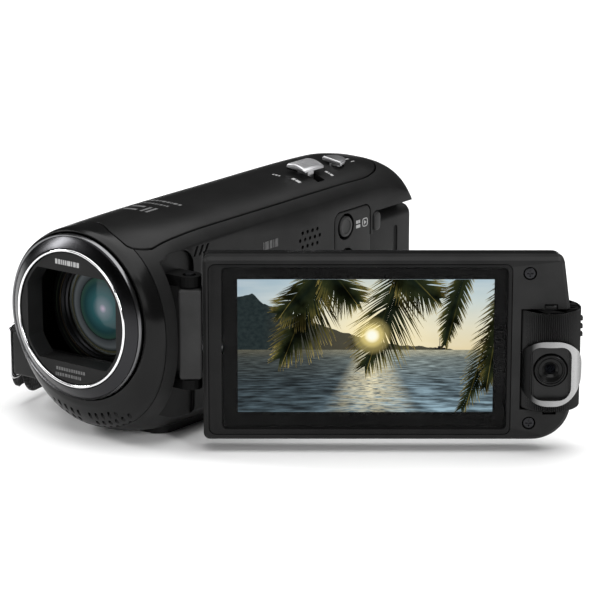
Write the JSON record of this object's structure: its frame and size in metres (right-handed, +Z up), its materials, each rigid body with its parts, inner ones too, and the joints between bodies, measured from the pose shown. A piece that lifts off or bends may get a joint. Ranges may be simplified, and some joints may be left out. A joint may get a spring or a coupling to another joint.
{
  "type": "camcorder",
  "caption": "Palm-size camcorder with a fold-out turning screen, a small turning camera at the screen's end, a grip belt, zoom lever and rear battery.",
  "frame": {"origin": "on the underside, below the optical axis, half way along the body", "axes": "+Z up, -Y towards the scene in front of the lens, +X towards the side the screen folds out from"},
  "size_m": [0.1498, 0.1301, 0.0616],
  "materials": {
    "gloss_black": "polished black moulding",
    "satin_black": "satin black moulding with a fine spark-eroded grain",
    "matte_black": "matte black moulding",
    "gunmetal": "dark spun metal with a radial sheen",
    "chrome_trim": "bright plated",
    "silver_control": "satin silver",
    "steel": "plain machined",
    "lens_glass": "coated optical glass, green and magenta cast",
    "screen_glass": "clear cover over a lit display",
    "circuit_board": "green board",
    "belt_webbing": "woven nylon webbing",
    "belt_pad": "soft grained pad"
  },
  "bodies": {
    "body": {"front_housing": "gloss_black", "left_cover": "gloss_black", "top_cover": "satin_black", "right_cover": "satin_black", "base_cover": "matte_black", "rear_frame": "matte_black", "button_plate": "matte_black", "lens_plate": "matte_black", "lens_barrel": "matte_black", "rear_lens_barrel": "matte_black", "battery_contacts": "matte_black", "terminal_block": "matte_black", "speaker": "matte_black", "strap_lug_front": "matte_black", "strap_lug_rear": "matte_black", "lens_bezel": "gunmetal", "front_retainer": "gunmetal", "lens_trim_ring": "chrome_trim", "tripod_socket": "steel", "hinge_bracket": "steel", "hinge_pin": "steel", "card_slot": "steel", "microphone_left": "steel", "microphone_right": "steel", "front_element": "lens_glass", "main_board": "circuit_board", "image_sensor": "circuit_board", "grip_belt": "belt_webbing", "grip_pad": "belt_pad"},
    "hinge_arm": {"hinge_block": "satin_black", "tilt_shaft": "steel"},
    "screen": {"screen_back_cover": "gloss_black", "screen_front_frame": "matte_black", "screen_bezel": "gloss_black", "screen_glass": "screen_glass", "display_panel": "screen_glass", "screen_screw_upper": "steel", "screen_screw_lower": "steel", "twin_camera_pin_upper": "steel", "twin_camera_pin_lower": "steel"},
    "twin_camera": {"twin_camera_drum": "matte_black", "twin_camera_ring": "chrome_trim", "twin_camera_barrel": "gloss_black", "twin_camera_glass": "lens_glass"},
    "zoom_lever": {"zoom_lever": "silver_control"},
    "photo_button": {"photo_button": "silver_control"},
    "record_button": {"record_button": "silver_control"},
    "playback_button": {"playback_button": "matte_black"},
    "effect_button": {"effect_button": "matte_black"},
    "power_button": {"power_button": "matte_black"},
    "battery_release": {"battery_release": "matte_black"},
    "battery": {"battery": "matte_black"},
    "card_door": {"card_door": "matte_black"},
    "terminal_cover": {"terminal_cover": "matte_black"},
    "barrier_upper_lead": {"barrier_upper_lead": "satin_black"},
    "barrier_upper_trail": {"barrier_upper_trail": "satin_black"},
    "barrier_lower_lead": {"barrier_lower_lead": "satin_black"},
    "barrier_lower_trail": {"barrier_lower_trail": "satin_black"},
    "zoom_lens_group": {"zoom_lens_group": "lens_glass"},
    "focus_lens_group": {"focus_lens_group": "lens_glass"}
  },
  "joints": [
    {"name": "screen_swing", "type": "hinge", "parent": "body", "child": "hinge_arm", "pos_m": [0.0251, -0.0464, 0.02785], "axis": [0, 0, 1], "range_deg": [-37.6, 52.4]},
    {"name": "screen_tilt", "type": "hinge", "parent": "hinge_arm", "child": "screen", "pos_m": [0.0251, -0.0464, 0.02785], "axis": [0.7923, 0.6101, 0], "range_deg": [-180, 0]},
    {"name": "twin_camera_turn", "type": "hinge", "parent": "screen", "child": "twin_camera", "pos_m": [0.09878, 0.01034, 0.02785], "axis": [0, 0, 1], "range_deg": [0, 160]},
    {"name": "zoom_lever_slide", "type": "slide", "parent": "body", "child": "zoom_lever", "axis": [1, 0, 0], "range_m": [-0.003, 0.003], "stiffness_N_per_m": 150},
    {"name": "photo_button_press", "type": "slide", "parent": "body", "child": "photo_button", "axis": [0, 0, -1], "range_m": [0, 0.0005], "stiffness_N_per_m": 400},
    {"name": "record_button_press", "type": "slide", "parent": "body", "child": "record_button", "axis": [0, -1, 0], "range_m": [0, 0.001], "stiffness_N_per_m": 400},
    {"name": "playback_button_press", "type": "slide", "parent": "body", "child": "playback_button", "axis": [-1, 0, 0], "range_m": [0, 0.0005], "stiffness_N_per_m": 400},
    {"name": "effect_button_press", "type": "slide", "parent": "body", "child": "effect_button", "axis": [-1, 0, 0], "range_m": [0, 0.0005], "stiffness_N_per_m": 400},
    {"name": "power_button_press", "type": "slide", "parent": "body", "child": "power_button", "axis": [-1, 0, 0], "range_m": [0, 0.0005], "stiffness_N_per_m": 400},
    {"name": "battery_release_slide", "type": "slide", "parent": "body", "child": "battery_release", "axis": [0, 0, -1], "range_m": [0, 0.0015], "stiffness_N_per_m": 200},
    {"name": "battery_pull", "type": "slide", "parent": "body", "child": "battery", "axis": [0, 1, 0], "range_m": [0, 0.03]},
    {"name": "card_door_open", "type": "hinge", "parent": "body", "child": "card_door", "pos_m": [-0.011, -0.025, 0.0002], "axis": [0, 1, 0], "range_deg": [0, 100]},
    {"name": "terminal_cover_open", "type": "hinge", "parent": "body", "child": "terminal_cover", "pos_m": [0.0196, -0.006, 0.02], "axis": [0, 0, 1], "range_deg": [-100, 0]},
    {"name": "barrier_upper_lead_slide", "type": "slide", "parent": "body", "child": "barrier_upper_lead", "axis": [0, 0, -1], "range_m": [0, 0.0122]},
    {"name": "barrier_upper_trail_slide", "type": "slide", "parent": "body", "child": "barrier_upper_trail", "axis": [0, 0, -1], "range_m": [0, 0.0061]},
    {"name": "barrier_lower_lead_slide", "type": "slide", "parent": "body", "child": "barrier_lower_lead", "axis": [0, 0, 1], "range_m": [0, 0.0122]},
    {"name": "barrier_lower_trail_slide", "type": "slide", "parent": "body", "child": "barrier_lower_trail", "axis": [0, 0, 1], "range_m": [0, 0.0061]},
    {"name": "zoom_group_slide", "type": "slide", "parent": "body", "child": "zoom_lens_group", "axis": [0, 1, 0], "range_m": [0, 0.016]},
    {"name": "focus_group_slide", "type": "slide", "parent": "body", "child": "focus_lens_group", "axis": [0, 1, 0], "range_m": [0, 0.004]}
  ],
  "couplings": [
    {"joint": "barrier_upper_trail_slide", "follows": "barrier_upper_lead_slide", "ratio": 0.5},
    {"joint": "barrier_lower_lead_slide", "follows": "barrier_upper_lead_slide", "ratio": 1},
    {"joint": "barrier_lower_trail_slide", "follows": "barrier_upper_lead_slide", "ratio": 0.5},
    {"joint": "focus_group_slide", "follows": "zoom_group_slide", "ratio": 0.25}
  ]
}
